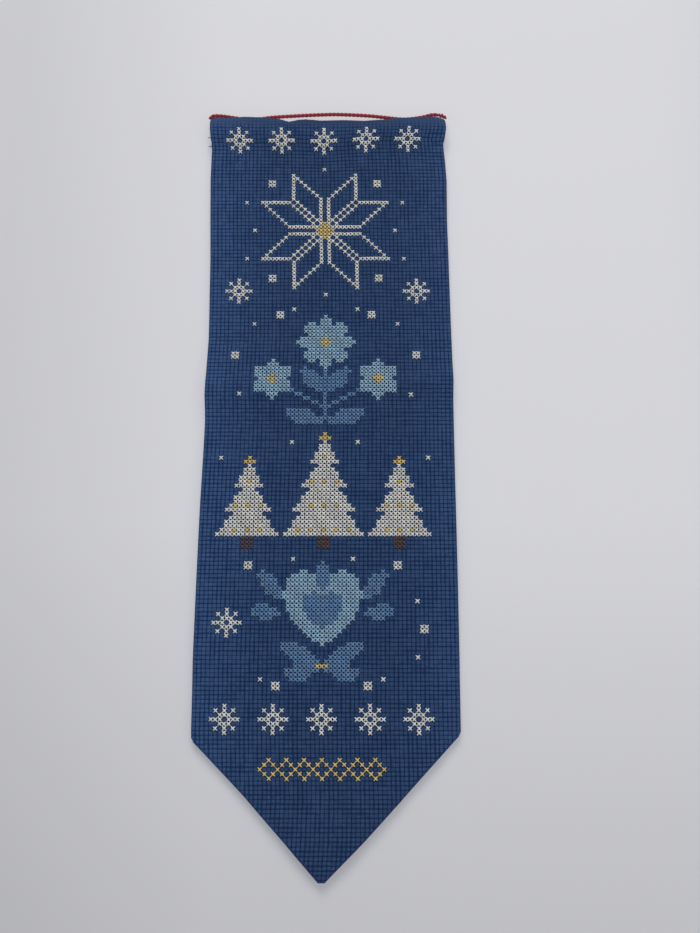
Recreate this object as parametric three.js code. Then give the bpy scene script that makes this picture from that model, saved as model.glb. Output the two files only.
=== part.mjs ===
// Cross stitch wall hanging: a long panel of even-weave cloth that ends in a point, with its
// side hems turned to the back, a full turned heading along the top, and a twisted hanging
// cord that runs along the top edge from the left corner to a knot at the right corner.
// Millimetres, +Z up. The front faces -Y. The origin is the middle of the top edge.
import * as THREE from 'three';

// Cloth and hems. The point's hems are measured level, so they are wider. Near the tip, where the
// panel is narrow, the hems, their steps and the rounding of their folds shrink to shares of it.
const CLOTH_THICKNESS = 1.2;
const HEM_THICKNESS = 2.4;
const HEM_WIDTH = 10;
const POINT_HEM_WIDTH = 14;
const HEM_STEP = 0.8;
const EDGE_ROUND = 1;
const TIP_SHARES = { hem: 0.36, step: 0.1, round: 0.09 };
const FIELD_COLUMNS = 23;
const HEM_COLUMNS = 3;
const ROW_SPACING = 6;

// Outline of the hung panel: the left and right edge at each drop below the top edge
const SHOULDER_DROP = 364;
const OUTLINE = [
  { drop: 0, left: -70.6, right: 69.2 },
  { drop: 1.5, left: -72.2, right: 70.2 },
  { drop: 4, left: -72.7, right: 70.7 },
  { drop: 9, left: -72.5, right: 70.8 },
  { drop: 13, left: -72.1, right: 70.1 },
  { drop: 17, left: -71.6, right: 69.0 },
  { drop: 21, left: -71.2, right: 69.3 },
  { drop: 28, left: -71.4, right: 70.0 },
  { drop: 41, left: -71.5, right: 70.7 },
  { drop: 68, left: -70.7, right: 70.3 },
  { drop: 94, left: -69.8, right: 70.6 },
  { drop: 144, left: -69.0, right: 71.0 },
  { drop: 170, left: -69.8, right: 71.3 },
  { drop: 181, left: -69.8, right: 71.1 },
  { drop: 194, left: -69.3, right: 71.1 },
  { drop: 240, left: -70.3, right: 71.0 },
  { drop: 285, left: -70.9, right: 71.0 },
  { drop: 328, left: -71.3, right: 70.9 },
  { drop: 352, left: -71.0, right: 70.8 },
  { drop: SHOULDER_DROP, left: -70.5, right: 70.1 },
  { drop: 368.5, left: -69.7, right: 67.4 },
  { drop: 378, left: -61.2, right: 58.3 },
  { drop: 388, left: -51.0, right: 48.7 },
  { drop: 398, left: -40.8, right: 38.6 },
  { drop: 408, left: -32.2, right: 29.7 },
  { drop: 418, left: -23.0, right: 19.8 },
  { drop: 428, left: -13.4, right: 10.2 },
  { drop: 436.6, left: -5.0, right: 0.7 },
  { drop: 438.4, left: -3.8, right: -0.8 },
];

// Turned heading: how far its face stands forward of the flat cloth, and how far back its back lies.
// The top fold rounds over down to NOSE_DROP.
const NOSE_DROP = 4.5;
const HEADING = [
  { drop: 0, front: 0.5, back: 0.8 },
  { drop: 0.8, front: 1.4, back: 1.7 },
  { drop: 2.2, front: 1.9, back: 2.2 },
  { drop: NOSE_DROP, front: 2.6, back: HEM_THICKNESS },
  { drop: 7.5, front: 3.3, back: HEM_THICKNESS },
  { drop: 10, front: 3.5, back: HEM_THICKNESS },
  { drop: 13, front: 3.1, back: HEM_THICKNESS },
  { drop: 16, front: 2.2, back: HEM_THICKNESS },
  { drop: 19, front: 1.2, back: HEM_THICKNESS },
  { drop: 20.5, front: 0.9, back: CLOTH_THICKNESS },
  { drop: 26, front: 0.2, back: CLOTH_THICKNESS },
  { drop: 32, front: 0, back: CLOTH_THICKNESS },
];

// Uneven top edge: its height along the width, which fades out down the heading
const TOP_EDGE_FADE = 20;
const TOP_EDGE = [
  { across: -71.8, rise: 0.9 },
  { across: -58.7, rise: 1.1 },
  { across: -53.6, rise: 1.9 },
  { across: -44.5, rise: 1.6 },
  { across: -37.4, rise: 0.9 },
  { across: -30.4, rise: 0.0 },
  { across: -25.3, rise: -1.8 },
  { across: -20.3, rise: -0.4 },
  { across: -15.2, rise: 0.1 },
  { across: -6.1, rise: -0.8 },
  { across: 9.1, rise: -0.5 },
  { across: 21.2, rise: -0.9 },
  { across: 33.3, rise: -0.1 },
  { across: 40.4, rise: 0.7 },
  { across: 45.4, rise: 1.2 },
  { across: 50.5, rise: 1.6 },
  { across: 56.6, rise: 1.8 },
  { across: 62.6, rise: 2.0 },
  { across: 66.7, rise: 1.6 },
  { across: 68.7, rise: 0.7 },
  { across: 69.7, rise: 0.3 },
];

// Soft folds across the panel: the crest or trough of each, its height towards the viewer, how
// far it runs out above and below, and how much its line climbs per millimetre to the right
const FOLDS = [
  { drop: 172, lift: 1.4, above: 45, below: 38, climb: 0.045 },
  { drop: 172.5, lift: 2.0, above: 13, below: 12, climb: 0.05 },
  { drop: 255, lift: 0.8, above: 50, below: 60, climb: -0.03 },
  { drop: 338, lift: -0.9, above: 34, below: 30, climb: 0.02 },
  { drop: 425, lift: 1.0, above: 40, below: 30, climb: 0 },
];

// Soft upright crease right of the middle, from one drop to the other
const CREASE = { across: 27, lift: 0.6, reach: 13, from: 50, to: 240, fade: 30 };

// Twisted hanging cord: two strands, and its route along the top edge from the left corner to the knot
const CORD_RADIUS = 1.15;
const CORD_LOBE = 0.1;
const CORD_PITCH = 4.8;
const CORD_SIDES = 8;
const CORD_STEPS_PER_TURN = 8;
const CORD_ROUTE = [
  { across: -72.9, depth: 0.2, height: 0.3 },
  { across: -72.5, depth: 0.0, height: 1.2 },
  { across: -71.2, depth: -0.2, height: 2.1 },
  { across: -68.6, depth: -0.3, height: 2.3 },
  { across: -63.9, depth: 0.5, height: 2.4 },
  { across: -57.8, depth: 2.0, height: 2.3 },
  { across: -50.5, depth: 2.8, height: 1.8 },
  { across: -42.5, depth: 2.3, height: 1.9 },
  { across: -36.5, depth: 1.3, height: 2.1 },
  { across: -30.3, depth: 0.3, height: 2.0 },
  { across: -15.3, depth: -0.2, height: 2.6 },
  { across: -5.0, depth: -0.2, height: 3.1 },
  { across: 4.8, depth: -0.2, height: 3.3 },
  { across: 16.5, depth: -0.1, height: 2.9 },
  { across: 25.8, depth: 0.0, height: 2.3 },
  { across: 35.1, depth: 1.1, height: 1.9 },
  { across: 46.1, depth: 2.7, height: 1.9 },
  { across: 55.9, depth: 2.0, height: 2.7 },
  { across: 62.6, depth: 0.4, height: 3.4 },
  { across: 66.2, depth: 0.2, height: 3.15 },
];

// Knot at the right corner, with its tail tucked down at the side: the route and its radius there
const KNOT_SIDES = 10;
const KNOT_STEPS = 26;
const KNOT_RIBS = 3;
const KNOT_RIB_HEIGHT = 0.12;
const KNOT_ROUTE = [
  { across: 66.6, depth: 0.2, height: 3.1, radius: 0.9 },
  { across: 67.4, depth: 0.2, height: 2.9, radius: 1.35 },
  { across: 68.6, depth: 0.15, height: 2.55, radius: 1.5 },
  { across: 69.7, depth: 0.1, height: 2.05, radius: 1.4 },
  { across: 70.6, depth: 0.0, height: 1.45, radius: 0.95 },
  { across: 71.0, depth: 0.0, height: 0.6, radius: 0.8 },
];

// Reads a column of a table at a place between its rows
function lookUp(rows, key, column, place) {
  const next = rows.findIndex((row) => row[key] >= place);
  if (next < 0) return rows[rows.length - 1][column];
  if (next === 0) return rows[0][column];
  const share = (place - rows[next - 1][key]) / (rows[next][key] - rows[next - 1][key]);
  return THREE.MathUtils.lerp(rows[next - 1][column], rows[next][column], share);
}

// A soft swell: 1 at its middle, 0 from its reach outwards
function swell(distance, reach) {
  const share = Math.min(Math.abs(distance) / reach, 1);
  return 0.5 + 0.5 * Math.cos(Math.PI * share);
}

// How far the folds and the crease bring the cloth towards the viewer
function foldLift(across, drop) {
  let lift = 0;
  for (const fold of FOLDS) {
    const below = drop - (fold.drop - fold.climb * across);
    lift += fold.lift * swell(below, below < 0 ? fold.above : fold.below);
  }
  const along = THREE.MathUtils.smoothstep(drop, CREASE.from, CREASE.from + CREASE.fade)
    * (1 - THREE.MathUtils.smoothstep(drop, CREASE.to - CREASE.fade, CREASE.to));
  return lift + CREASE.lift * along * swell(across - CREASE.across, CREASE.reach);
}

// Places across the panel at one drop: both folded edges, both hems and the field between them
function placesAcross(drop) {
  const left = lookUp(OUTLINE, 'drop', 'left', drop);
  const right = lookUp(OUTLINE, 'drop', 'right', drop);
  const width = right - left;
  const hem = Math.min(drop > SHOULDER_DROP ? POINT_HEM_WIDTH : HEM_WIDTH, TIP_SHARES.hem * width);
  const round = Math.min(EDGE_ROUND, TIP_SHARES.round * width);
  const step = Math.min(HEM_STEP, TIP_SHARES.step * width);
  const places = [{ across: left, hem: true }];
  for (let column = 0; column <= HEM_COLUMNS; column += 1) {
    const across = THREE.MathUtils.lerp(left + round, left + hem, column / HEM_COLUMNS);
    places.push({ across, hem: true });
  }
  for (let column = 0; column < FIELD_COLUMNS; column += 1) {
    const share = column / (FIELD_COLUMNS - 1);
    const across = THREE.MathUtils.lerp(left + hem + step, right - hem - step, share);
    places.push({ across, hem: false });
  }
  for (let column = 0; column <= HEM_COLUMNS; column += 1) {
    const across = THREE.MathUtils.lerp(right - hem, right - round, column / HEM_COLUMNS);
    places.push({ across, hem: true });
  }
  places.push({ across: right, hem: true });
  return places;
}

// One level section of the panel: its front from left to right, then its back from right to left
function panelSection(drop) {
  const fade = 1 - THREE.MathUtils.smoothstep(drop, 0, TOP_EDGE_FADE);
  const places = placesAcross(drop);
  const front = [];
  const back = [];
  places.forEach(({ across, hem }, index) => {
    const height = fade * lookUp(TOP_EDGE, 'across', 'rise', across) - drop;
    const lift = foldLift(across, drop);
    const face = -lift - lookUp(HEADING, 'drop', 'front', drop);
    const headingBack = lookUp(HEADING, 'drop', 'back', drop);
    const rear = -lift + (hem && drop > NOSE_DROP ? HEM_THICKNESS : headingBack);
    if (index === 0 || index === places.length - 1) {
      front.push(new THREE.Vector3(across, 0.5 * (face + rear), height));
    } else {
      front.push(new THREE.Vector3(across, face, height));
      back.unshift(new THREE.Vector3(across, rear, height));
    }
  });
  return [...front, ...back];
}

// Closed skin through a row of loops with the same even count of points. Each loop turns clockwise
// about the way the row runs, and point k faces point count - k across the loop.
function loft(loops) {
  const count = loops[0].length;
  const half = count / 2;
  const index = [];
  for (let row = 0; row < loops.length - 1; row += 1) {
    for (let k = 0; k < count; k += 1) {
      const a = row * count + k;
      const d = row * count + ((k + 1) % count);
      index.push(a, a + count, d + count, a, d + count, d);
    }
  }
  const last = (loops.length - 1) * count;
  for (let k = 0; k < half; k += 1) {
    const facing = (count - k) % count;
    const nextFacing = count - k - 1;
    if (k + 1 !== nextFacing) {
      index.push(k, k + 1, nextFacing);
      index.push(last + k, last + nextFacing, last + k + 1);
    }
    if (k !== facing) {
      index.push(k, nextFacing, facing);
      index.push(last + k, last + facing, last + nextFacing);
    }
  }
  const geometry = new THREE.BufferGeometry().setFromPoints(loops.flat());
  geometry.setIndex(index);
  geometry.computeVertexNormals();
  return geometry;
}

// Rows of the panel: every row of the outline and the heading, filled in to the row spacing
function panelDrops() {
  const marks = [...OUTLINE, ...HEADING].map((row) => row.drop);
  const sorted = [...new Set(marks)].sort((a, b) => a - b);
  const drops = [sorted[0]];
  for (const mark of sorted.slice(1)) {
    const start = drops[drops.length - 1];
    const parts = Math.ceil((mark - start) / ROW_SPACING);
    for (let part = 1; part <= parts; part += 1) {
      drops.push(THREE.MathUtils.lerp(start, mark, part / parts));
    }
  }
  return drops;
}

// Smooth curve through the points of a route
function routeCurve(route) {
  const points = route.map(({ across, depth, height }) => new THREE.Vector3(across, depth, height));
  return new THREE.CatmullRomCurve3(points);
}

// Loops around a curve, from a radius for each place along it and each angle around it
function tubeLoops(curve, steps, sides, radiusAt) {
  const { normals, binormals } = curve.computeFrenetFrames(steps);
  const loops = [];
  for (let step = 0; step <= steps; step += 1) {
    const centre = curve.getPointAt(step / steps);
    const loop = [];
    for (let side = 0; side < sides; side += 1) {
      const angle = -2 * Math.PI * side / sides;
      const radius = radiusAt(step / steps, angle);
      loop.push(centre.clone()
        .addScaledVector(normals[step], radius * Math.cos(angle))
        .addScaledVector(binormals[step], radius * Math.sin(angle)));
    }
    loops.push(loop);
  }
  return loops;
}

// The cord's two strands show as a twisted two-lobed section
function cordGeometry() {
  const curve = routeCurve(CORD_ROUTE);
  const turns = Math.round(curve.getLength() / CORD_PITCH);
  const lobed = (share, angle) => {
    const twist = 2 * Math.PI * turns * share;
    return CORD_RADIUS * (1 - CORD_LOBE + CORD_LOBE * Math.cos(2 * (angle + twist)));
  };
  return loft(tubeLoops(curve, turns * CORD_STEPS_PER_TURN, CORD_SIDES, lobed));
}

// The knot is a ribbed bulge that thins to its tail
function knotGeometry() {
  const rows = KNOT_ROUTE.map(({ radius }, row) => ({ share: row / (KNOT_ROUTE.length - 1), radius }));
  const ribbed = (share, angle) => {
    const rib = Math.cos(angle + 2 * Math.PI * KNOT_RIBS * share);
    return lookUp(rows, 'share', 'radius', share) * (1 - KNOT_RIB_HEIGHT + KNOT_RIB_HEIGHT * rib);
  };
  return loft(tubeLoops(routeCurve(KNOT_ROUTE), KNOT_STEPS, KNOT_SIDES, ribbed));
}

function piece(name, geometry, color, roughness) {
  const material = new THREE.MeshStandardMaterial({ color, roughness, metalness: 0 });
  const mesh = new THREE.Mesh(geometry, material);
  mesh.name = name;
  return mesh;
}

const hanging = new THREE.Group();
hanging.name = 'cross_stitch_wall_hanging';
hanging.add(
  piece('panel', loft(panelDrops().map(panelSection)), '#25395f', 0.9),
  piece('hanging_cord', cordGeometry(), '#8a1c2c', 0.75),
  piece('cord_knot', knotGeometry(), '#8a1c2c', 0.75),
);

export default hanging;
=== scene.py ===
import math

import bmesh
import bpy
import numpy as np
from mathutils import Matrix, Vector


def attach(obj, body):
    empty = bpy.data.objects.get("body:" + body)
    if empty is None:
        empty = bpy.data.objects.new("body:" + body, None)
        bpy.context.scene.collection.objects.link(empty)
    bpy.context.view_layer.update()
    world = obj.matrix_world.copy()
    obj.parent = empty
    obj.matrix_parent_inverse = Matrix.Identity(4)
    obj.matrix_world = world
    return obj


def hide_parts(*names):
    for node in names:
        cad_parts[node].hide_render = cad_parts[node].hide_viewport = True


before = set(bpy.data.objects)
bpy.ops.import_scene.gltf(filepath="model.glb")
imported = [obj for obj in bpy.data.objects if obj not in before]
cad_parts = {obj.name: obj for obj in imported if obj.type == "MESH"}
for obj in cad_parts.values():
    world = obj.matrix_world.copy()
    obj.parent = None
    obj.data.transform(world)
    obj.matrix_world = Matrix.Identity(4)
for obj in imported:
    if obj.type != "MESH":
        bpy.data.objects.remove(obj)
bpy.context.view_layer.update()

# Camera
# The photograph was taken from 0.6 m, a little right of the hanging and from below its middle,
# with the lens tilted up, so the point is nearer than the heading.
MM = 0.001
PHOTO_HEIGHT = 933
FOCAL_PIXELS = 1100
SENSOR_WIDTH = 36
TILT = math.radians(15.67)
AIM = Vector((12.5, 0, -220.2)) * MM
DISTANCE = 612.7 * MM

camera = bpy.data.objects.new("camera", bpy.data.cameras.new("camera"))
camera.data.sensor_width = SENSOR_WIDTH
camera.data.lens = SENSOR_WIDTH * FOCAL_PIXELS / PHOTO_HEIGHT
camera.data.clip_start = 0.01
camera.location = AIM - DISTANCE * Vector((0, math.cos(TILT), math.sin(TILT)))
camera.rotation_euler = (math.radians(90) + TILT, 0, 0)
bpy.context.collection.objects.link(camera)
bpy.context.scene.camera = camera

# Hanging cord
# A thin red cotton cord, twisted by hand from two strands. It comes out of the heading's left end,
# lies along the uneven top edge, partly behind it, and ends in a knot at the right corner.
STRAND_RADIUS = 0.92
STRAND_OFFSET = 0.28
STRAND_SIDES = 8
CORD_PITCH = 4.8
STEPS_PER_TURN = 14
CORD_SPACING = 0.8
CORD_RED = "ac2734"
CORD_SHADE = "861b29"
CORD_FIBRE = 0.25
CORD_ROUTE = [
    (-72.9, 0.2, 0.3), (-72.5, 0.0, 1.2), (-71.2, -0.2, 2.1), (-68.6, -0.3, 2.3), (-63.9, 0.5, 2.4),
    (-57.8, 2.0, 2.3), (-50.5, 2.8, 1.8), (-42.5, 2.3, 1.9), (-36.5, 1.3, 2.1), (-30.3, 0.3, 2.0),
    (-15.3, -0.2, 2.6), (-5.0, -0.2, 3.1), (4.8, -0.2, 3.3), (16.5, -0.1, 2.9), (25.8, 0.0, 2.3),
    (35.1, 1.1, 1.9), (46.1, 2.7, 1.9), (55.9, 2.0, 2.7), (62.6, 0.4, 3.4), (66.2, 0.2, 3.15),
]


def linear(hex_colour):
    """An sRGB hex colour as linear RGBA."""
    parts = [int(hex_colour[k:k + 2], 16) / 255 for k in (0, 2, 4)]
    return [c / 12.92 if c <= 0.04045 else ((c + 0.055) / 1.055) ** 2.4 for c in parts] + [1]


def add(tree, kind, inputs, **settings):
    """Adds one node with its settings. Each input is a value or another node's output."""
    node = tree.nodes.new(kind)
    for name, value in settings.items():
        setattr(node, name, value)
    for socket, value in inputs.items():
        if isinstance(value, bpy.types.NodeSocket):
            tree.links.new(value, node.inputs[socket])
        else:
            node.inputs[socket].default_value = value
    return node


def new_material(name, **values):
    """A material with its Principled shader's constant values set."""
    material = bpy.data.materials.new(name)
    material.use_nodes = True
    shader = material.node_tree.nodes["Principled BSDF"]
    for socket, value in values.items():
        shader.inputs[socket.replace("_", " ")].default_value = value
    return material, material.node_tree, shader


def finish_piece(name, mesh, material):
    """Links a finished mesh as a piece of the hanging, with its material, under the hanging's root."""
    mesh.materials.append(material)
    mesh.shade_smooth()
    piece = bpy.data.objects.new(name, mesh)
    bpy.context.collection.objects.link(piece)
    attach(piece, "root")
    return piece


def smooth_route(points, spacing):
    """Evenly spaced places on a smooth curve through the points of a route."""
    p = np.array([points[0], *points, points[-1]], float)
    t = np.linspace(0, 1, 16, endpoint=False)[:, None]
    spans = []
    for a, b, c, d in zip(p, p[1:], p[2:], p[3:]):
        spans.append(b + 0.5 * t * (c - a + t * (2 * a - 5 * b + 4 * c - d + t * (3 * (b - c) + d - a))))
    fine = np.concatenate([*spans, p[-1:]])
    run = np.concatenate([[0], np.cumsum(np.linalg.norm(np.diff(fine, axis=0), axis=1))])
    even = np.linspace(0, run[-1], round(run[-1] / spacing) + 1)
    return np.stack([np.interp(even, run, fine[:, k]) for k in range(3)], 1)


def twisted_cord(name, route, strand_radius, strand_offset):
    """Two strands spun about a straight line and then laid along a route."""
    run = np.concatenate([[0], np.cumsum(np.linalg.norm(np.diff(route, axis=0), axis=1))])
    turns = run[-1] / CORD_PITCH
    steps = round(turns * STEPS_PER_TURN)
    bm = bmesh.new()
    for start in (0, math.pi):
        stand = Matrix.Rotation(start, 4, "X") @ Matrix.Translation((0, strand_offset, 0))
        ring = bmesh.ops.create_circle(
            bm, segments=STRAND_SIDES, radius=strand_radius,
            matrix=stand @ Matrix.Rotation(math.pi / 2, 4, "Y"))["verts"]
        edges = list({edge for vert in ring for edge in vert.link_edges})
        bmesh.ops.spin(
            bm, geom=ring + edges, cent=(0, 0, 0), axis=(1, 0, 0), dvec=(run[-1] / steps, 0, 0),
            angle=turns * 2 * math.pi, steps=steps, use_merge=False)
    bmesh.ops.holes_fill(bm, edges=bm.edges, sides=STRAND_SIDES)
    bmesh.ops.recalc_face_normals(bm, faces=bm.faces)
    mesh = bpy.data.meshes.new(name)
    bm.to_mesh(mesh)
    bm.free()
    straight = np.array([vert.co for vert in mesh.vertices])
    ahead = np.gradient(route, run, axis=0)
    ahead /= np.linalg.norm(ahead, axis=1, keepdims=True)
    aside = [np.cross(ahead[0], (0.0, 1.0, 0.0))]
    for way in ahead:
        turned = aside[-1] - np.dot(aside[-1], way) * way
        aside.append(turned / np.linalg.norm(turned))
    aside = np.array(aside[1:])
    across = np.cross(ahead, aside)
    centre, first, second = [
        np.stack([np.interp(straight[:, 0], run, values[:, k]) for k in range(3)], 1)
        for values in (route, aside, across)]
    laid = centre + straight[:, 1:2] * first + straight[:, 2:3] * second
    mesh.vertices.foreach_set("co", (laid * MM).ravel())
    mesh.update()
    return mesh


def red_cotton_cord():
    """Twisted cotton: soft and matt, with fine fibres and a deeper red here and there."""
    material, tree, shader = new_material("red_cotton_cord", Roughness=0.8, Sheen_Weight=0.3)
    place = add(tree, "ShaderNodeTexCoord", {})
    fibre = add(tree, "ShaderNodeTexNoise", {
        "Vector": place.outputs["Object"], "Scale": 1 / (CORD_FIBRE * MM), "Detail": 3})
    colour = add(tree, "ShaderNodeMix", {
        "Factor": fibre.outputs["Fac"], "A": linear(CORD_SHADE), "B": linear(CORD_RED)}, data_type="RGBA")
    bump = add(tree, "ShaderNodeBump", {
        "Height": fibre.outputs["Fac"], "Strength": 0.5, "Distance": 0.1 * MM})
    tree.links.new(colour.outputs["Result"], shader.inputs["Base Color"])
    tree.links.new(bump.outputs["Normal"], shader.inputs["Normal"])
    return material


cord_cotton = red_cotton_cord()
cord_path = smooth_route(CORD_ROUTE, CORD_SPACING)
cord_mesh = twisted_cord("cord", cord_path, STRAND_RADIUS, STRAND_OFFSET)
hanging_cord = finish_piece("hanging_cord_twist", cord_mesh, cord_cotton)
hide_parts("hanging_cord")

# Knot
# The cord's right end, wound round itself and drawn tight at the corner of the heading. Its tail is
# tucked down at the side.
KNOT_STRAND_RADIUS = 0.62
KNOT_STRAND_OFFSET = 0.18
KNOT_WRAPS = 2.5
KNOT_WRAP_RADIUS = 0.75
KNOT_AXIS = [
    (66.2, 0.2, 3.15), (67.2, 0.2, 2.95), (68.4, 0.15, 2.6), (69.6, 0.1, 2.1), (70.6, 0.0, 1.5),
    (71.0, 0.0, 0.6),
]
KNOT_SPACING = 0.06
WRAP_SPAN = (0.05, 0.85)

knot_axis = smooth_route(KNOT_AXIS, KNOT_SPACING)
share = np.linspace(0, 1, len(knot_axis))
wound = np.clip((share - WRAP_SPAN[0]) / (WRAP_SPAN[1] - WRAP_SPAN[0]), 0, 1)
swing = KNOT_WRAP_RADIUS * np.sin(np.pi * wound) ** 0.5
turn = 2 * np.pi * KNOT_WRAPS * wound
knot_path = knot_axis + np.stack([0 * turn, swing * np.cos(turn), swing * np.sin(turn)], 1)
knot_mesh = twisted_cord("knot", knot_path, KNOT_STRAND_RADIUS, KNOT_STRAND_OFFSET)
knot = finish_piece("cord_knot_tied", knot_mesh, cord_cotton)
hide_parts("cord_knot")

# Panel
# One length of dark blue even-weave cotton, 11 squares to the inch. Its sides and its point are turned
# to the back as mitred hems, and its top is turned over the back into a full heading, open at both ends.
SQUARE = 25.4 / 11
ROW_PITCH = 2.298
FIRST_THREAD = 0.3
COLUMNS = 61
CELLS_PER_SQUARE = 2
HALF_WIDTH = COLUMNS * SQUARE / 2
FIRST_ROW = -9.5
LAST_ROW = 191
CLOTH_THICKNESS = 1.05
GROOVE_DEPTH = 0.18
THINNEST_SHARE = 0.35
HEM_TOP = 7 * ROW_PITCH + FIRST_THREAD
HEM_WIDTH = 10.0
# Each loop of the turned hem: how far in from the edge, and how far behind the face
HEM_LOOPS = [(0.0, 1.2), (0.35, 2.1), (1.0, 2.4), (HEM_WIDTH, 2.35)]
EDGE_TUCK = 0.35
EDGE_TUCK_DEPTH = 0.3
# Left and right edge of the hung cloth at each drop, carried on past the shoulders of the point
EDGE_DROP = [
    0, 1.5, 4, 9, 13, 17, 21, 28, 41, 68, 94,
    144, 170, 181, 194, 240, 285, 328, 364, 398, 418, 439]
EDGE_LEFT = [
    -70.6, -72.2, -72.7, -72.5, -72.1, -71.6, -71.2, -71.4, -71.5, -70.7, -69.8,
    -69.0, -69.8, -69.8, -69.3, -70.3, -70.9, -71.3, -70.7, -69.2, -70.6, -71.6]
EDGE_RIGHT = [
    69.2, 70.2, 70.7, 70.8, 70.1, 69.0, 69.3, 70.0, 70.7, 70.3, 70.6,
    71.0, 71.3, 71.1, 71.1, 71.0, 71.0, 70.9, 70.5, 70.6, 71.2, 69.5]
# Profile of the heading at each drop: how far its face stands forward and its back lies behind
NOSE_DROP = 4.5
HEADING_DROP = [0, 0.3, 0.8, 2.2, NOSE_DROP, 7.5, 10, 13, 16, 19, 22, 26, 32]
HEADING_FRONT = [0.3, 1.0, 1.4, 1.9, 2.6, 3.3, 3.5, 3.1, 2.2, 1.2, 0.6, 0.2, 0]
HEADING_BACK = [0.5, 1.2, 1.7, 2.2, 2.4, 2.4, 2.4, 2.4, 2.4, 2.4, 2.4, 2.4, 2.4]
# Height of the uneven top edge along the width, the stretch of cloth that turns over it, and a furrow
# just below it
TOP_ACROSS = [-70, -57, -52, -43, -36, -29, -24, -19, -14, -5, 10, 22, 34, 41, 46, 51, 57, 63, 67, 69, 70]
TOP_RISE = [
    0.9, 1.1, 1.9, 1.6, 0.9, 0.0, -1.8, -0.4, 0.1, -0.8, -0.5, -0.9, -0.1, 0.7, 1.2, 1.6, 1.8, 2.0, 1.6,
    0.7, 0.3]
TURN_RUN = [-13, -1]
FURROW_DROP = 2.6
FURROW_REACH = 1.7
FURROW_ACROSS = [-30, -24, 30, 46]
FURROW_DEPTH = [0, 0.5, 0.4, 0]
# How far the rows of the weave wander up or down across the heading
ROW_ACROSS = [-70, -28, -2, 23, 49, 70]
ROW_RISE = [-0.3, -0.9, -1.5, 0.3, 0.7, 0.2]
ROW_DROP = 16
ROW_REACH = 36
# Soft folds: drop, lift towards the viewer, reach above, reach below, climb to the right
FOLDS = [
    (172, 1.4, 45, 38, 0.045), (172.5, 2.0, 13, 12, 0.05), (255, 0.8, 50, 60, -0.03),
    (338, -0.9, 34, 30, 0.02), (425, 1.0, 40, 30, 0)]
CREASE_ACROSS = 27
CREASE_LIFT = 0.6
CREASE_REACH = 13
CREASE_DROPS = [50, 80, 210, 240]
# Corners of the finished panel on the flat cloth, from the left hem's top round the point to the right
OUTLINE = [
    (-HALF_WIDTH, HEM_TOP), (-HALF_WIDTH, 366.8), (-HALF_WIDTH + 1.2, 369.4), (-2.8, 438.3), (0.6, 438.3),
    (HALF_WIDTH - 1.2, 366.4), (HALF_WIDTH, 363.8), (HALF_WIDTH, HEM_TOP)]
CLOTH_LIGHT = "38527c"
CLOTH_BLUE = "30466a"
# Painted shade: the darker blues of the grooves between the squares and of the holes at their corners
GROOVE_SHADE_BLUE = "112b53"
HOLE_SHADE_BLUE = "0a1b3b"
# Painted highlight: the lighter, even blue over the top fold, where light from above falls
TOP_HIGHLIGHT_BLUE = "33486b"
THREADS_PER_SQUARE = 4
FADE_PATCH = 40
FUZZ = 0.5
WOBBLE = 0.2
LINE_DRIFT = 0.14
# Painted glare: how much lighter the cloth grows towards its side edges
EDGE_GLARE = 0.4
# Share of the painted highlight over the top fold
TOP_HIGHLIGHT_SHARE = 0.65
# Where across the cloth its painted shade is deepest, a little right of its middle
SHADED_ACROSS = 8


def swell(distance, reach):
    """A soft swell: 1 at its middle, 0 from its reach outwards."""
    return 0.5 + 0.5 * np.cos(np.pi * np.minimum(np.abs(distance) / reach, 1))


def heading_profile():
    """Drop and depth of the cloth by its length, from the heading's back edge over the top to the front."""
    back = list(zip(HEADING_DROP, HEADING_BACK))
    front = [(drop, -depth) for drop, depth in zip(HEADING_DROP, HEADING_FRONT)]
    points = np.array(back[::-1] + front)
    run = np.concatenate([[0], np.cumsum(np.linalg.norm(np.diff(points, axis=0), axis=1))])
    nose = len(back) + HEADING_DROP.index(NOSE_DROP)
    run += NOSE_DROP - run[nose]
    run[nose:] = points[nose:, 0]
    return run, points


profile_run, profile_points = heading_profile()


def hang(across, along, behind):
    """Places of the hung cloth in metres, from flat sizes in millimetres and the depth behind its face."""
    rise = np.interp(across, TOP_ACROSS, TOP_RISE)
    run = along + rise * np.interp(along, TURN_RUN, [-1, 1])
    drop = np.where(run > NOSE_DROP, run, np.interp(run, profile_run, profile_points[:, 0]))
    furrow = swell(run - FURROW_DROP, FURROW_REACH) * np.interp(across, FURROW_ACROSS, FURROW_DEPTH)
    depth = np.interp(run, profile_run, profile_points[:, 1]) + furrow
    left = np.interp(drop, EDGE_DROP, EDGE_LEFT)
    right = np.interp(drop, EDGE_DROP, EDGE_RIGHT)
    x = left + (right - left) * (across / HALF_WIDTH + 1) / 2
    wander = swell(drop - ROW_DROP, ROW_REACH) * np.clip(drop / NOSE_DROP - 1, 0, 1)
    z = rise + wander * np.interp(x, ROW_ACROSS, ROW_RISE) - drop
    lift = CREASE_LIFT * np.interp(-z, CREASE_DROPS, [0, 1, 1, 0]) * swell(x - CREASE_ACROSS, CREASE_REACH)
    for fold_drop, fold_lift, above, below, climb in FOLDS:
        past = -z - (fold_drop - climb * x)
        lift = lift + fold_lift * swell(past, np.where(past < 0, above, below))
    return np.stack([x, depth - lift + behind, z], 1) * MM


def recess(across, along):
    """How deep the weave's grooves and holes lie: 0 in the middle of a square, most at its corners."""
    column = np.abs(np.cos(np.pi * across / SQUARE))
    row = np.abs(np.sin(np.pi * (along - FIRST_THREAD) / ROW_PITCH))
    return GROOVE_DEPTH * (2 - column - row)


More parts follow.
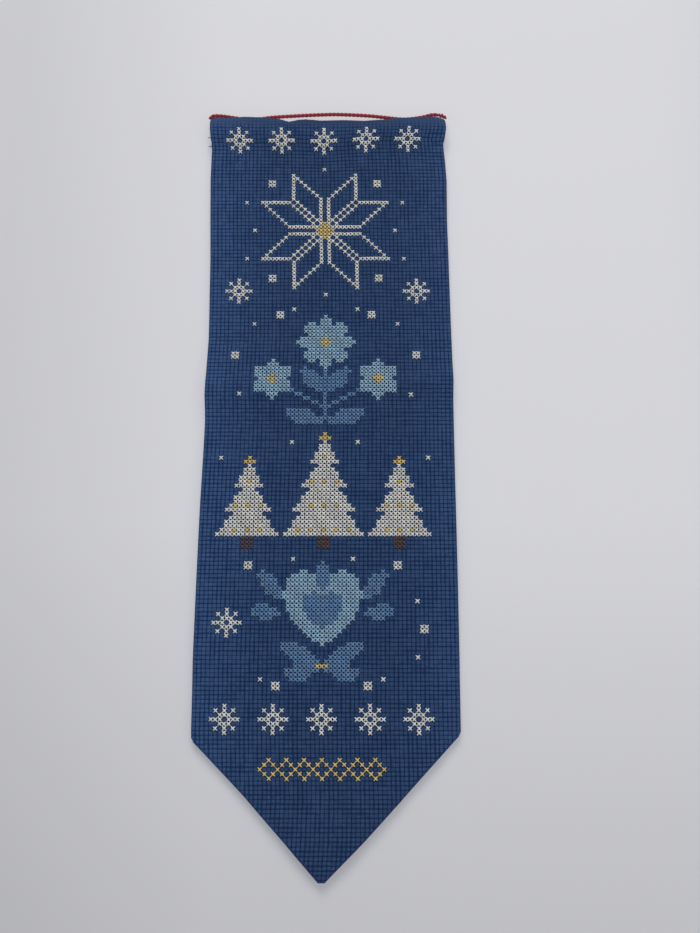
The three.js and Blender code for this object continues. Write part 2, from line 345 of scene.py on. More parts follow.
def outline_side(start, end, before, after):
    """One straight side of the outline: its start, direction, length, inward way and mitre slopes."""
    start, end = Vector(start), Vector(end)
    ahead = (end - start).normalized()
    inward = Vector((ahead.y, -ahead.x))
    slopes = []
    for corner, way, other in ((start, ahead, before), (end, -ahead, after)):
        if other is None:
            slopes.append(None)
            continue
        turn = way.angle((Vector(other) - corner).normalized())
        slopes.append(math.tan(turn / 2))
    return start, ahead, (end - start).length, inward, slopes


sides = []
for k in range(len(OUTLINE) - 1):
    before = OUTLINE[k - 1] if k > 0 else None
    after = OUTLINE[k + 2] if k + 2 < len(OUTLINE) else None
    sides.append(outline_side(OUTLINE[k], OUTLINE[k + 1], before, after))


def side_at(point):
    """The outline's side that a point of the flat cloth lies on, with its place along it, or None."""
    for side in sides:
        start, ahead, length, inward, slopes = side
        along = (point - start).dot(ahead)
        if abs((point - start).dot(inward)) < 1e-3 and -1e-3 < along < length + 1e-3:
            return side, along
    return None


def woven_panel():
    """The cloth as a flat grid, cut to its outline, with its hems extruded, and then hung."""
    bm = bmesh.new()
    rows = round((LAST_ROW - FIRST_ROW) * CELLS_PER_SQUARE)
    bmesh.ops.create_grid(bm, x_segments=COLUMNS * CELLS_PER_SQUARE, y_segments=rows, size=0.5)
    flat_size = (COLUMNS * SQUARE, (LAST_ROW - FIRST_ROW) * ROW_PITCH, 1)
    bmesh.ops.scale(bm, vec=flat_size, verts=bm.verts)
    middle = (LAST_ROW + FIRST_ROW) / 2 * ROW_PITCH + FIRST_THREAD
    bmesh.ops.translate(bm, vec=(0, middle, 0), verts=bm.verts)
    for start, ahead, length, inward, slopes in sides[1:-1]:
        bmesh.ops.bisect_plane(
            bm, geom=bm.verts[:] + bm.edges[:] + bm.faces[:], dist=1e-4, plane_co=(*start, 0),
            plane_no=(*(-inward), 0), clear_outer=True)
    bmesh.ops.reverse_faces(bm, faces=bm.faces)
    weave = bm.verts.layers.float_vector.new("weave")
    fold = bm.verts.layers.float_vector.new("fold")
    for vert in bm.verts:
        vert[weave] = vert.co
        vert[fold] = vert.co
    chain = []
    for edge in bm.edges:
        if edge.is_boundary:
            ends = [side_at(vert.co.xy) for vert in edge.verts]
            middle = side_at((edge.verts[0].co.xy + edge.verts[1].co.xy) / 2)
            if all(ends) and middle:
                chain.append(edge)
    for vert in {vert for edge in chain for vert in edge.verts}:
        side, along = side_at(vert.co.xy)
        vert.co.xy += side[3] * EDGE_TUCK
        vert.co.z = EDGE_TUCK_DEPTH
    for inset, behind in HEM_LOOPS:
        grown = bmesh.ops.extrude_edge_only(bm, edges=chain)["geom"]
        chain = [part for part in grown if isinstance(part, bmesh.types.BMEdge)]
        for vert in {vert for edge in chain for vert in edge.verts}:
            base = vert[fold].xy
            (start, ahead, length, inward, slopes), along = side_at(base)
            reach = inset
            if slopes[0] is not None:
                reach = min(reach, along * slopes[0])
            if slopes[1] is not None:
                reach = min(reach, (length - along) * slopes[1])
            vert.co = (*(base + inward * reach), behind)
            vert[weave] = (*(base - inward * inset), 1)
    bmesh.ops.remove_doubles(bm, verts=bm.verts, dist=1e-4)
    mesh = bpy.data.meshes.new("panel_cloth")
    bm.to_mesh(mesh)
    bm.free()
    flat = np.array([vert.co for vert in mesh.vertices])
    thread = np.array([item.vector for item in mesh.attributes["weave"].data])
    depth = recess(thread[:, 0], thread[:, 1])
    turned = (flat[:, 2] > 2) | (flat[:, 1] < -NOSE_DROP)
    hung = hang(flat[:, 0], flat[:, 1], flat[:, 2] + np.where(turned, -depth, depth))
    mesh.vertices.foreach_set("co", hung.ravel())
    mesh.attributes.remove(mesh.attributes["fold"])
    mesh.update()
    return mesh, 1 - (1 - THINNEST_SHARE) * depth / (2 * GROOVE_DEPTH)


def blue_even_weave():
    """Cotton woven in squares of four threads with a hole at each corner: matt, soft and a little faded.
    Its colour holds painted shade and light.
    """
    material, tree, shader = new_material(
        "blue_even_weave", Roughness=0.88, Sheen_Weight=0.05, Sheen_Roughness=0.6)
    shader.inputs["Specular IOR Level"].default_value = 0.1
    weave = add(tree, "ShaderNodeAttribute", {}, attribute_name="weave")
    squares = add(tree, "ShaderNodeVectorMath", {
        0: weave.outputs["Vector"], 1: (1 / SQUARE, 1 / ROW_PITCH, 0),
        2: (0.5, -FIRST_THREAD / ROW_PITCH, 0)}, operation="MULTIPLY_ADD")
    uneven = add(tree, "ShaderNodeTexNoise", {
        "Vector": squares.outputs["Vector"], "Scale": 0.7, "Detail": 1})
    wobble = add(tree, "ShaderNodeVectorMath", {
        0: uneven.outputs["Color"], 1: (WOBBLE, WOBBLE, 0), 2: squares.outputs["Vector"]},
        operation="MULTIPLY_ADD")
    woven = add(tree, "ShaderNodeVectorMath", {
        0: wobble.outputs["Vector"], 1: (WOBBLE / 2, WOBBLE / 2, 0)}, operation="SUBTRACT")
    apart = add(tree, "ShaderNodeSeparateXYZ", {"Vector": woven.outputs["Vector"]})
    rims = []
    strands = []
    blocks = []
    for axis, other in (("X", "Y"), ("Y", "X")):
        rim = add(tree, "ShaderNodeMath", {0: apart.outputs[axis], 1: 0.5}, operation="PINGPONG")
        rims.append(rim.outputs["Value"])
        line = add(tree, "ShaderNodeMath", {0: apart.outputs[axis]}, operation="ROUND")
        drift = add(tree, "ShaderNodeMath", {
            0: apart.outputs[other], 1: LINE_DRIFT}, operation="MULTIPLY")
        on_line = add(tree, "ShaderNodeCombineXYZ", {
            axis: line.outputs["Value"], other: drift.outputs["Value"], "Z": 0.5})
        pull = add(tree, "ShaderNodeTexNoise", {
            "Vector": on_line.outputs["Vector"], "Scale": 1.37, "Detail": 1})
        width = add(tree, "ShaderNodeMapRange", {
            "Value": pull.outputs["Fac"], "From Min": 0.3, "From Max": 0.7, "To Min": 0.1, "To Max": 0.4})
        block = add(tree, "ShaderNodeMapRange", {
            "Value": rim.outputs["Value"], "From Min": 0, "From Max": width.outputs["Result"]},
            interpolation_type="SMOOTHSTEP")
        blocks.append(block.outputs["Result"])
        wave = add(tree, "ShaderNodeMath", {
            0: apart.outputs[axis], 1: 2 * math.pi * THREADS_PER_SQUARE}, operation="MULTIPLY")
        strand = add(tree, "ShaderNodeMath", {0: wave.outputs["Value"]}, operation="SINE")
        strands.append(strand.outputs["Value"])
    block = add(tree, "ShaderNodeMath", {0: blocks[0], 1: blocks[1]}, operation="MULTIPLY")
    corner = add(tree, "ShaderNodeCombineXYZ", {"X": rims[0], "Y": rims[1]})
    reach = add(tree, "ShaderNodeVectorMath", {0: corner.outputs["Vector"]}, operation="LENGTH")
    hole = add(tree, "ShaderNodeMapRange", {
        "Value": reach.outputs["Value"], "From Min": 0.22, "From Max": 0.06},
        interpolation_type="SMOOTHSTEP")
    checker = add(tree, "ShaderNodeTexChecker", {
        "Vector": woven.outputs["Vector"], "Color1": (0, 0, 0, 1), "Color2": (1, 1, 1, 1), "Scale": 1})
    strand = add(tree, "ShaderNodeMix", {
        "Factor": checker.outputs["Color"], "A": strands[0], "B": strands[1]}, data_type="FLOAT")
    place = add(tree, "ShaderNodeTexCoord", {})
    fade = add(tree, "ShaderNodeTexNoise", {
        "Vector": place.outputs["Object"], "Scale": 1 / (FADE_PATCH * MM), "Detail": 3})
    fuzz = add(tree, "ShaderNodeTexNoise", {
        "Vector": place.outputs["Object"], "Scale": 1 / (FUZZ * MM), "Detail": 2})
    corner_square = add(tree, "ShaderNodeVectorMath", {0: woven.outputs["Vector"]}, operation="FLOOR")
    chance = add(tree, "ShaderNodeTexWhiteNoise", {"Vector": corner_square.outputs["Vector"]})
    worn = add(tree, "ShaderNodeMath", {
        0: fade.outputs["Fac"], 1: 0.5, 2: chance.outputs["Value"]}, operation="MULTIPLY_ADD")
    lit = add(tree, "ShaderNodeMath", {
        0: fuzz.outputs["Fac"], 1: 0.6, 2: worn.outputs["Value"]}, operation="MULTIPLY_ADD")
    tone = add(tree, "ShaderNodeMapRange", {
        "Value": lit.outputs["Value"], "From Min": 0.3, "From Max": 1.8})
    thread = add(tree, "ShaderNodeMix", {
        "Factor": tone.outputs["Result"], "A": linear(CLOTH_BLUE), "B": linear(CLOTH_LIGHT)},
        data_type="RGBA")
    # Painted shade darkens the grooves between the squares and the holes at their corners
    groove_shaded = add(tree, "ShaderNodeMix", {
        "Factor": block.outputs["Value"], "A": linear(GROOVE_SHADE_BLUE), "B": thread.outputs["Result"]},
        data_type="RGBA")
    hole_shaded = add(tree, "ShaderNodeMix", {
        "Factor": hole.outputs["Result"], "A": groove_shaded.outputs["Result"], "B": linear(HOLE_SHADE_BLUE)},
        data_type="RGBA")
    flat = add(tree, "ShaderNodeSeparateXYZ", {"Vector": weave.outputs["Vector"]})
    # Painted highlight: towards the top fold the colour is drawn to a lighter even blue, where light from
    # above falls
    from_top = add(tree, "ShaderNodeMath", {0: flat.outputs["Y"]}, operation="ABSOLUTE")
    top_highlight = add(tree, "ShaderNodeMapRange", {
        "Value": from_top.outputs["Value"], "From Min": 2 * NOSE_DROP, "From Max": 1, "To Max": TOP_HIGHLIGHT_SHARE},
        interpolation_type="SMOOTHSTEP")
    highlighted = add(tree, "ShaderNodeMix", {
        "Factor": top_highlight.outputs["Result"], "A": hole_shaded.outputs["Result"], "B": linear(TOP_HIGHLIGHT_BLUE)},
        data_type="RGBA")
    # Painted glare and shade: the colour grows lighter towards the side edges and stays darkest a little
    # right of the middle
    aside = add(tree, "ShaderNodeMath", {
        0: flat.outputs["X"], 1: SHADED_ACROSS}, operation="SUBTRACT")
    apart_from = add(tree, "ShaderNodeMath", {0: aside.outputs["Value"]}, operation="ABSOLUTE")
    glare_reach = add(tree, "ShaderNodeMapRange", {
        "Value": apart_from.outputs["Value"], "From Min": 0.3 * HALF_WIDTH,
        "From Max": HALF_WIDTH + SHADED_ACROSS})
    glare_rise = add(tree, "ShaderNodeMath", {0: glare_reach.outputs["Result"], 1: 1.7}, operation="POWER")
    glare_and_shade = add(tree, "ShaderNodeMath", {
        0: glare_rise.outputs["Value"], 1: EDGE_GLARE, 2: 1}, operation="MULTIPLY_ADD")
    colour = add(tree, "ShaderNodeVectorMath", {
        0: highlighted.outputs["Result"], "Scale": glare_and_shade.outputs["Value"]}, operation="SCALE")
    raised = add(tree, "ShaderNodeMath", {
        0: strand.outputs["Result"], 1: 0.2, 2: block.outputs["Value"]}, operation="MULTIPLY_ADD")
    relief = add(tree, "ShaderNodeMath", {
        0: fuzz.outputs["Fac"], 1: 0.35, 2: raised.outputs["Value"]}, operation="MULTIPLY_ADD")
    bump = add(tree, "ShaderNodeBump", {
        "Height": relief.outputs["Value"], "Strength": 0.8, "Distance": 0.15 * MM})
    tree.links.new(colour.outputs["Vector"], shader.inputs["Base Color"])
    tree.links.new(bump.outputs["Normal"], shader.inputs["Normal"])
    return material


panel_mesh, fullness = woven_panel()
panel = finish_piece("panel_cloth", panel_mesh, blue_even_weave())
full = panel.vertex_groups.new(name="fullness")
for index, weight in enumerate(fullness):
    full.add([index], float(weight), "REPLACE")
body = panel.modifiers.new("thickness", "SOLIDIFY")
body.thickness = CLOTH_THICKNESS * MM
body.offset = -1
body.vertex_group = "fullness"
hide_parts("panel")

# Cross stitches
# Stranded cotton in five colours, each stitch two slanting threads over one square of the weave, the
# second lying over the first. On the back each stitch leaves a short upright bar of thread.
THREAD_SIDES = 6
THREAD_STEPS = 4
THREAD_WIDTH = 0.86
THREAD_HEIGHT = 0.5
THREAD_PINCH = 0.45
UNDER_ARCH = 0.62
OVER_ARCH = 0.95
THREAD_SINK = 0.3
BACK_ARCH = 0.5
STITCH_SEED = 11
STITCH_TURN = math.radians(5)
STITCH_STRAY = 0.07
STITCH_SWELL = 0.08
STITCH_COVER = 0.92
THREAD_GRAIN = 0.3
THREAD_COLOURS = {
    "white": ("f5f4ee", "white_thread"),
    "gold": ("efd27a", "gold_thread"),
    "pale": ("a4cbe2", "pale_blue_thread"),
    "mid": ("6894c2", "mid_blue_thread"),
    "brown": ("5a3626", "brown_thread"),
}
STAR_CHART = ["...x...", ".x.x.x.", "..xxx..", "xxx.xxx", "..xxx..", ".x.x.x.", "...x..."]
STARS = [(column, row) for row in (6, 155) for column in (-23, -12, -1, 10, 21)]
STARS += [(-23, 49), (22, 49), (-23, 133)]
MIDDLE = -1
ROSE_ROW = 32
ROSE_PETAL = 8
SNOW_DOTS = [
    (-21, 24), (19, 24), (-21, 40), (19, 40), (-9, 54), (7, 54), (-19, 58), (17, 58), (-22, 77), (20, 77),
    (-9, 89), (7, 89), (-26, 93), (24, 93), (-8, 118), (6, 118), (21, 128), (-15, 146), (13, 146),
    (21, 141)]
SNOW_BLOCKS = [
    (-13, 55), (10, 55), (-24, 66), (21, 66), (16, 119), (-19, 119), (22, 134), (-12, 147), (9, 147)]
design = {}


def stitch(cells, thread):
    """Sets down crosses of one thread on the chart."""
    for cell in cells:
        design[cell] = thread


def leaf(column, row, reach, width, turn):
    """Squares of a leaf or petal that starts at a square and points a turn to the right of upright."""
    sine, cosine = math.sin(math.radians(turn)), math.cos(math.radians(turn))
    cells = []
    for right in range(-reach, reach + 1):
        for up in range(-reach, reach + 1):
            along = right * sine + up * cosine
            aside = right * cosine - up * sine
            if 0 < along <= reach and abs(aside) <= width / 2 * math.sin(math.pi * along / (reach + 1)):
                cells.append((column + right, row - up))
    return cells


def stitched_star(column, row):
    """A small eight-armed star."""
    for down, line in enumerate(STAR_CHART):
        stitch([(column + k - 3, row + down - 3) for k, mark in enumerate(line) if mark == "x"], "white")


def stitched_rose(column, row, petal):
    """The traditional eight-petalled star: outlined petals on both sides of each arm, with a gold heart."""
    for x in range(1, petal + 1):
        for y in range(x + 1, x + petal + 1):
            rim = x in (1, petal) or y in (x + 1, x + petal)
            ends = {(s * a, t * b) for a, b in ((x, y), (y, x)) for s in (-1, 1) for t in (-1, 1)}
            if rim:
                stitch([(column + a, row + b) for a, b in ends], "white")
    for x in range(-2, 3):
        for y in range(-2, 3):
            if abs(x) + abs(y) <= 2:
                stitch([(column + x, row + y)], "gold")
    tip = 2 * petal + 2
    stitch([(column, row - tip), (column, row + tip), (column - tip, row), (column + tip, row)], "white")
    for a in (petal + 5, petal + 6):
        for b in (petal + 5, petal + 6):
            stitch([(column + s * a, row + t * b) for s in (-1, 1) for t in (-1, 1)], "white")


def stitched_flower(column, row, petals, reach, width):
    """A pale blue flower with a gold middle."""
    for k in range(petals):
        stitch(leaf(column, row, reach, width, 360 * k / petals), "pale")
    stitch([(column + x, row + y) for x in (-1, 0, 1) for y in (-1, 0, 1) if abs(x) + abs(y) < 2], "gold")


def stitched_spray(column, row):
    """Three flowers on a mid blue stem with leaves, drawn upwards from the foot of the stem."""
    stitch([(column, row - k) for k in range(14)], "mid")
    for s in (-1, 1):
        stitch([(column + s * k, row - 3 - k // 2) for k in range(1, 11)], "mid")
        stitch(leaf(column, row + 1, 10, 4.2, s * 74), "mid")
        stitch(leaf(column, row - 6, 9, 4.0, s * 40), "mid")
        stitched_flower(column + s * 13, row - 10, 6, 5, 3.4)
    stitched_flower(column, row - 20, 8, 7, 3.6)


def stitched_fir(column, foot, tiers):
    """A white fir tree in tiers, with gold baubles, a gold top and a brown trunk."""
    top = foot - 2 - sum(height for height, narrow, wide in tiers)
    row = top
    for height, narrow, wide in tiers:
        for down in range(height):
            half = narrow + round((wide - narrow) * down / (height - 1))
            stitch([(column + k, row) for k in range(-half, half + 1)], "white")
            if down == height - 2:
                stitch([(column + k, row) for k in range(-half + 1, half) if k % 3 == 0], "gold")
            row += 1
    stitch([(column + k, row + m) for k in (-1, 0, 1) for m in (0, 1, 2)], "brown")
    stitch([(column, top - 2), (column - 1, top - 1), (column, top - 1), (column + 1, top - 1)], "gold")


def stitched_heart(column, row, half):
    """A pale blue heart with a mid blue heart in it, over crossed mid blue leaves."""
    for x in range(-half - 2, half + 3):
        for y in range(-half - 2, half + 3):
            across, up = x / half, -y / half + 0.1
            if (across ** 2 + up ** 2 - 1) ** 3 < across ** 2 * up ** 3:
                inner = (4 * across ** 2 + 4 * up ** 2 - 1) ** 3 < 32 * across ** 2 * up ** 3
                stitch([(column + x, row + y)], "mid" if inner else "pale")
    for s in (-1, 1):
        stitch(leaf(column, row + half + 5, 11, 4.2, s * 62), "mid")
        stitch(leaf(column, row + half + 5, 9, 4.0, s * 104), "mid")
        stitch(leaf(column + s * (half + 1), row - 2, 9, 3.8, s * 40), "mid")
        stitch(leaf(column + s * (half + 1), row + 1, 8, 3.6, s * 84), "mid")
    stitch(leaf(column, row - half + 4, 7, 3.6, 0), "mid")
    stitch([(column + k, row + half + 5) for k in (-1, 0, 1)], "gold")


def stitched_border(column, row, half):
    """A narrow gold border of diamonds."""
    for aside in range(-half, half + 1):
        rise = abs((aside + half) % 4 - 2)
        stitch([(column + aside, row - 2 + rise), (column + aside, row + 2 - rise)], "gold")


for place in STARS:
    stitched_star(*place)
stitched_rose(MIDDLE, ROSE_ROW, ROSE_PETAL)
stitched_spray(MIDDLE, 83)
stitched_fir(MIDDLE, 115, [(6, 0, 3), (6, 1, 5), (6, 3, 7), (6, 5, 9)])
for aside in (-18, 18):
    stitched_fir(MIDDLE + aside, 115, [(6, 0, 3), (6, 1, 5), (6, 3, 7)])
stitched_heart(MIDDLE, 130, 8)
stitched_border(MIDDLE, 166, 14)
stitch(SNOW_DOTS, "white")
for column, row in SNOW_BLOCKS:
    stitch([(column + k, row + m) for k in (0, 1) for m in (0, 1)], "white")


def thread_arch(span, arch, width, height, turn):
    """One thread as an arch over the cloth: a flattened ring spun from end to end of its span."""
    radius = (span ** 2 / 4 + arch ** 2) / (2 * arch)
    half_turn = math.asin(min(span / 2 / radius, 1))
    bm = bmesh.new()
    stand = Matrix.Rotation(-half_turn, 4, "Y") @ Matrix.Translation((0, 0, radius))
    flatten = Matrix.Diagonal((1, width / 2, height / 2, 1))
    ring = bmesh.ops.create_circle(
        bm, segments=THREAD_SIDES, radius=1, matrix=stand @ flatten @ Matrix.Rotation(math.pi / 2, 4, "Y"))
    edges = list({edge for vert in ring["verts"] for edge in vert.link_edges})
    bmesh.ops.spin(
        bm, geom=ring["verts"] + edges, cent=(0, 0, 0), axis=(0, 1, 0), angle=2 * half_turn,
        steps=THREAD_STEPS, use_merge=False)
    bmesh.ops.holes_fill(bm, edges=bm.edges, sides=THREAD_SIDES)
    for vert in bm.verts:
        vert.co.y *= 1 - THREAD_PINCH * (2 * vert.co.x / span) ** 2
    bmesh.ops.translate(bm, vec=(0, 0, arch - radius - THREAD_SINK), verts=bm.verts)
    bmesh.ops.rotate(bm, cent=(0, 0, 0), matrix=Matrix.Rotation(turn, 3, "Z"), verts=bm.verts)
    bmesh.ops.recalc_face_normals(bm, faces=bm.faces)
    bm.verts.index_update()
    points = np.array([vert.co for vert in bm.verts])
    faces = [[vert.index for vert in face.verts] for face in bm.faces]
    bm.free()
    return points, faces


def joined(parts):
    """Several thread shapes as one."""
    points = []
    faces = []
    count = 0
    for part_points, part_faces in parts:
        points.append(part_points)
        faces += [[index + count for index in face] for face in part_faces]
        count += len(part_points)
    return np.concatenate(points), faces


def rows_of_thread(name, shape, places, turns, swells, behind):
    """One mesh of a thread shape set down at many places of the hung cloth, each turned and swelled."""
    points, faces = shape
    cosine = np.cos(turns)[:, None]
    sine = np.sin(turns)[:, None]
    across = places[:, :1] + swells[:, None] * (points[:, 0] * cosine - points[:, 1] * sine)
    along = places[:, 1:2] + swells[:, None] * (points[:, 0] * sine + points[:, 1] * cosine)
    height = swells[:, None] * points[:, 2]
    depth = behind + height if behind > 0 else -height
    hung = hang(across.ravel(), along.ravel(), depth.ravel())
    all_faces = [[index + k * len(points) for index in face] for k in range(len(places)) for face in faces]
    mesh = bpy.data.meshes.new(name)
    mesh.from_pydata(hung, [], all_faces)
    shade = np.repeat(np.sin(places[:, 0] * 7.7 + places[:, 1] * 3.1), len(points))
    mesh.attributes.new("shade", "FLOAT", "POINT").data.foreach_set("value", shade)
    bm = bmesh.new()
    bm.from_mesh(mesh)
    bmesh.ops.recalc_face_normals(bm, faces=bm.faces)
    bm.to_mesh(mesh)
    bm.free()
    return mesh


def stranded_cotton(name, hex_colour):
    """Mercerised stranded cotton: a soft sheen, fine strands and a slight change from stitch to stitch."""
    material, tree, shader = new_material(name, Roughness=0.6, Sheen_Weight=0.25)
    shade = add(tree, "ShaderNodeAttribute", {}, attribute_name="shade")
    place = add(tree, "ShaderNodeTexCoord", {})
    strand = add(tree, "ShaderNodeTexNoise", {
        "Vector": place.outputs["Object"], "Scale": 1 / (THREAD_GRAIN * MM), "Detail": 2})
    level = add(tree, "ShaderNodeMath", {
        0: shade.outputs["Fac"], 1: 0.07, 2: 0.86}, operation="MULTIPLY_ADD")
    value = add(tree, "ShaderNodeMath", {
        0: strand.outputs["Fac"], 1: 0.16, 2: level.outputs["Value"]}, operation="MULTIPLY_ADD")
    colour = add(tree, "ShaderNodeVectorMath", {
        0: linear(hex_colour)[:3], "Scale": value.outputs["Value"]}, operation="SCALE")
    bump = add(tree, "ShaderNodeBump", {
        "Height": strand.outputs["Fac"], "Strength": 0.4, "Distance": 0.08 * MM})
    tree.links.new(colour.outputs["Vector"], shader.inputs["Base Color"])
    tree.links.new(bump.outputs["Normal"], shader.inputs["Normal"])
    return material


def join_meshes(name, meshes):
    """Several meshes as one, with their attributes."""
    bm = bmesh.new()
    for mesh in meshes:
        bm.from_mesh(mesh)
        bpy.data.meshes.remove(mesh)
    mesh = bpy.data.meshes.new(name)
    bm.to_mesh(mesh)
    bm.free()
    return mesh


diagonal = SQUARE * math.sqrt(2) * STITCH_COVER
under = thread_arch(diagonal, UNDER_ARCH, THREAD_WIDTH, THREAD_HEIGHT, math.radians(-45))
over = thread_arch(diagonal, OVER_ARCH, THREAD_WIDTH, THREAD_HEIGHT, math.radians(45))
cross = joined([under, over])
bar = thread_arch(SQUARE, BACK_ARCH, THREAD_WIDTH, THREAD_HEIGHT, math.radians(90))
chance = np.random.default_rng(STITCH_SEED)
for thread, (hex_colour, slot) in THREAD_COLOURS.items():
    cells = np.array([cell for cell, used in design.items() if used == thread], float)
    places = (cells + (0, 0.5)) * (SQUARE, ROW_PITCH) + (0, FIRST_THREAD)
    places = places + chance.uniform(-STITCH_STRAY, STITCH_STRAY, places.shape)
    turns = chance.uniform(-STITCH_TURN, STITCH_TURN, len(places))
    swells = chance.uniform(1 - STITCH_SWELL, 1 + STITCH_SWELL / 2, len(places))
    front = rows_of_thread("front", cross, places, turns, swells, 0)
    bars = rows_of_thread("back", bar, places - (SQUARE / 2, 0), turns, swells, CLOTH_THICKNESS)
    mesh = join_meshes(thread + "_stitches", [front, bars])
    piece = finish_piece(thread + "_stitches", mesh, stranded_cotton(thread + "_cotton", hex_colour))

# Sewing
# Dark blue sewing cotton: small slanting stitches that hold the hems and the heading down on the back,
# and two loose ends that stick out of the left edge just below the top.
SEW_SPACING = 6
SEW_SPAN = 3.2
SEW_WIDTH = 0.45
SEW_ARCH = 0.55
SEW_SLANT = math.radians(55)
SEW_BLUE = "16233f"
SEW_DEPTH = 2.2
LOOSE_ENDS = [(-72.3, 12.2), (-71.6, 18.3)]
LOOSE_LENGTH = 1.7
LOOSE_RADIUS = 0.32
LOOSE_TAPER = 0.6
LOOSE_DEPTH = 0.6
LOOSE_TURN = math.radians(-97)

sew_places = []
sew_turns = []
for start, ahead, length, inward, slopes in sides:
    for k in range(int((length - 2 * HEM_WIDTH) / SEW_SPACING) + 1):
        spot = start + ahead * (HEM_WIDTH + k * SEW_SPACING) + inward * HEM_WIDTH
        sew_places.append(tuple(spot))
        sew_turns.append(math.atan2(inward.y, inward.x) + SEW_SLANT)
sew_arch = thread_arch(SEW_SPAN, SEW_ARCH, SEW_WIDTH, SEW_WIDTH, 0)
sew_turns = np.array(sew_turns)
sew_mesh = rows_of_thread(
    "hem_sewing", sew_arch, np.array(sew_places), sew_turns, np.ones(len(sew_turns)), SEW_DEPTH)
sewing_cotton = stranded_cotton("sewing_cotton", SEW_BLUE)
sewing = finish_piece("hem_sewing", sew_mesh, sewing_cotton)

loose = bmesh.new()
for x, drop in LOOSE_ENDS:
    spot = Matrix.Translation((x * MM, LOOSE_DEPTH * MM, -drop * MM))
    bmesh.ops.create_cone(
        loose, segments=THREAD_SIDES, radius1=LOOSE_RADIUS * MM, radius2=LOOSE_RADIUS * LOOSE_TAPER * MM,
        depth=2 * LOOSE_LENGTH * MM, cap_ends=True, matrix=spot @ Matrix.Rotation(LOOSE_TURN, 4, "Y"))
loose_mesh = bpy.data.meshes.new("loose_ends")
loose.to_mesh(loose_mesh)
loose.free()
loose_ends = finish_piece("loose_thread_ends", loose_mesh, sewing_cotton)

# Backdrop and floor
# A pale sheet of card behind the hanging that curves forward into a floor well below it. From behind it
# lets the view and the light through, so that the back of the hanging shows.
WALL_DEPTH = 5.2
FLOOR_DROP = 640
COVE_RADIUS = 120
COVE_STEPS = 12
CARD_WIDTH = 3000
CARD_FRONT = 2200
CARD_TOP = 1400
CARD_WHITE = "cbcbce"
# Painted light: the card glows by itself, which lightens the shadows on it
CARD_GLOW = 0.38
# Painted shade on the card: how its colour darkens towards its foot, and away from the middle of its light
FOOT_SHADE = [(-520, 0.75), (-250, 0.97)]
SIDE_SHADE = [(130, 1.01), (260, 0.88)]
CARD_LIGHT_MIDDLE = 70


def pale_card():
    """Smooth matt card, seen from its front only, that lets light from behind through to the hanging and
    has a painted glow of its own.
    """
    material, tree, shader = new_material("pale_card", Roughness=0.9, Emission_Strength=CARD_GLOW)
    place = add(tree, "ShaderNodeTexCoord", {})
    apart = add(tree, "ShaderNodeSeparateXYZ", {"Vector": place.outputs["Object"]})
    aside = add(tree, "ShaderNodeMath", {0: apart.outputs["X"], 1: CARD_LIGHT_MIDDLE * MM}, operation="SUBTRACT")
    away = add(tree, "ShaderNodeMath", {0: aside.outputs["Value"]}, operation="ABSOLUTE")
    # Painted shade: the card's colour darkens towards its foot and its sides, as the light falls off
    card_shades = []
    for value, (low, high) in ((apart.outputs["Z"], FOOT_SHADE), (away.outputs["Value"], SIDE_SHADE)):
        tone = add(tree, "ShaderNodeMapRange", {
            "Value": value, "From Min": low[0] * MM, "From Max": high[0] * MM, "To Min": low[1],
            "To Max": high[1]})
        card_shades.append(tone.outputs["Result"])
    level = add(tree, "ShaderNodeMath", {0: card_shades[0], 1: card_shades[1]}, operation="MULTIPLY")
    colour = add(tree, "ShaderNodeVectorMath", {
        0: linear(CARD_WHITE)[:3], "Scale": level.outputs["Value"]}, operation="SCALE")
    # The painted glow takes the same colour as the card
    for socket in ("Base Color", "Emission Color"):
        tree.links.new(colour.outputs["Vector"], shader.inputs[socket])
    side = add(tree, "ShaderNodeNewGeometry", {})
    path = add(tree, "ShaderNodeLightPath", {})
    through = add(tree, "ShaderNodeMath", {
        0: side.outputs["Backfacing"], 1: path.outputs["Is Shadow Ray"]}, operation="MAXIMUM")
    clear = add(tree, "ShaderNodeBsdfTransparent", {})
    mixed = add(tree, "ShaderNodeMixShader", {
        0: through.outputs["Value"], 1: shader.outputs["BSDF"], 2: clear.outputs["BSDF"]})
    tree.links.new(mixed.outputs["Shader"], tree.nodes["Material Output"].inputs["Surface"])
    return material


def drawn_out(card, edge, way):
    """The far edge of a flat stretch of card drawn out from an edge."""
    grown = bmesh.ops.extrude_edge_only(card, edges=[edge])["geom"]
    far = [part for part in grown if isinstance(part, bmesh.types.BMEdge)][0]
    bmesh.ops.translate(card, vec=way, verts=far.verts)
    return far


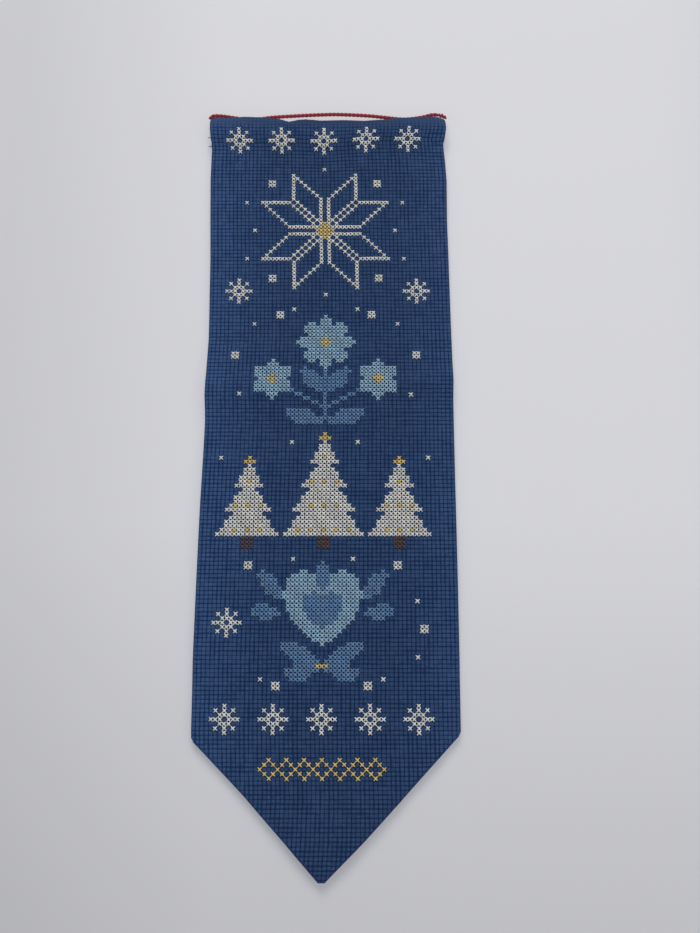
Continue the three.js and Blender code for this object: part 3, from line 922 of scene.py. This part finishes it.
card = bmesh.new()
corners = [card.verts.new((s * CARD_WIDTH / 2, -CARD_FRONT, -FLOOR_DROP)) for s in (1, -1)]
edge = drawn_out(card, card.edges.new(corners), (0, CARD_FRONT + WALL_DEPTH - COVE_RADIUS, 0))
spun = bmesh.ops.spin(
    card, geom=[edge, *edge.verts], cent=(0, WALL_DEPTH - COVE_RADIUS, COVE_RADIUS - FLOOR_DROP),
    axis=(1, 0, 0), angle=math.pi / 2, steps=COVE_STEPS, use_merge=False)
edge = [part for part in spun["geom_last"] if isinstance(part, bmesh.types.BMEdge)][0]
drawn_out(card, edge, (0, 0, FLOOR_DROP + CARD_TOP))
bmesh.ops.scale(card, vec=(MM, MM, MM), verts=card.verts)
card_mesh = bpy.data.meshes.new("backdrop")
card.to_mesh(card_mesh)
card.free()
card_mesh.shade_smooth()
card_mesh.materials.append(pale_card())
backdrop = bpy.data.objects.new("backdrop", card_mesh)
bpy.context.collection.objects.link(backdrop)

# Light
# A large soft lamp above and in front, a weaker one from the right, one behind for the back, and an even
# pale surround, as in a plain light tent.
LAMPS = [
    ("key", (-0.1, -1.4, 1.1), (0.0, 0.0, -0.2), 1.1, 18),
    ("side", (0.5, -0.8, -0.2), (0.0, 0.0, -0.2), 0.8, 0.9),
    ("rear", (0.15, 1.0, -0.3), (0.0, 0.0, -0.2), 1.0, 14),
]
SURROUND = 0.3
SURROUND_WHITE = "e4e6ea"

for name, spot, target, size, watts in LAMPS:
    lamp = bpy.data.objects.new(name, bpy.data.lights.new(name, "AREA"))
    lamp.data.size = size
    lamp.data.energy = watts
    lamp.location = spot
    lamp.visible_camera = False
    lamp.rotation_euler = (Vector(target) - Vector(spot)).to_track_quat("-Z", "Y").to_euler()
    bpy.context.collection.objects.link(lamp)
world = bpy.data.worlds.new("surround")
world.use_nodes = True
world.node_tree.nodes["Background"].inputs["Color"].default_value = linear(SURROUND_WHITE)
world.node_tree.nodes["Background"].inputs["Strength"].default_value = SURROUND
bpy.context.scene.world = world
bpy.context.scene.view_settings.view_transform = "Standard"
